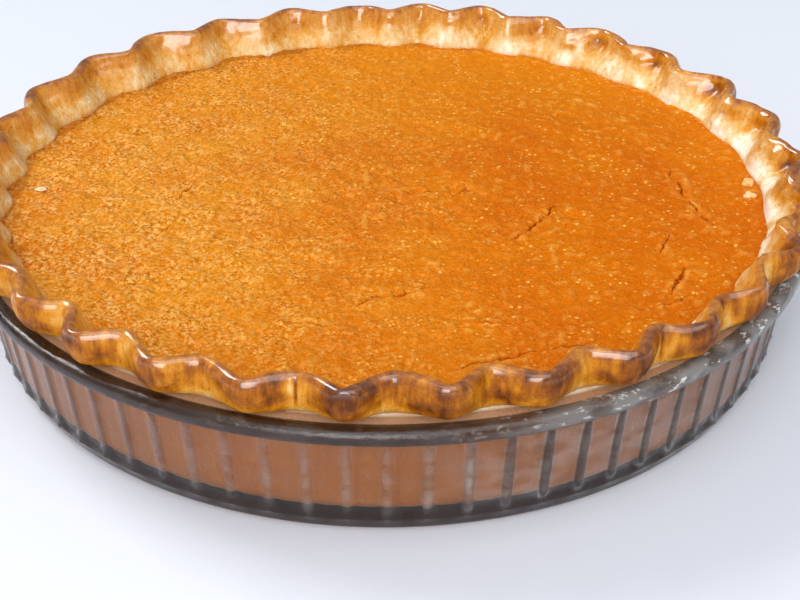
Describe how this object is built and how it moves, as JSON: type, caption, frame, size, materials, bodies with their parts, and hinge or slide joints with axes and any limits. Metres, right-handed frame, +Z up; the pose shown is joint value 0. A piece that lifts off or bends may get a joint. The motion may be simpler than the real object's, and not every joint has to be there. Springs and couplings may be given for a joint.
{
  "type": "pumpkin pie",
  "caption": "Whole baked pumpkin pie with a crimped golden pastry edge and an orange custard filling, in its own round fluted glass dish.",
  "frame": {"origin": "on the table, under the middle of the dish", "axes": "+Z up along the axis of the round dish, -Y towards the front, +X to the right seen from the front"},
  "size_m": [0.2816, 0.2808, 0.0541],
  "materials": {
    "smoky_glass": "pressed clear glass, slightly smoky, polished",
    "golden_pastry": "egg-washed shortcrust, baked golden, half gloss",
    "baked_pumpkin": "baked pumpkin custard, finely pebbled, slightly moist"
  },
  "bodies": {
    "root": {"glass_dish": "smoky_glass", "pastry_crust": "golden_pastry", "pumpkin_filling": "baked_pumpkin"}
  },
  "joints": []
}
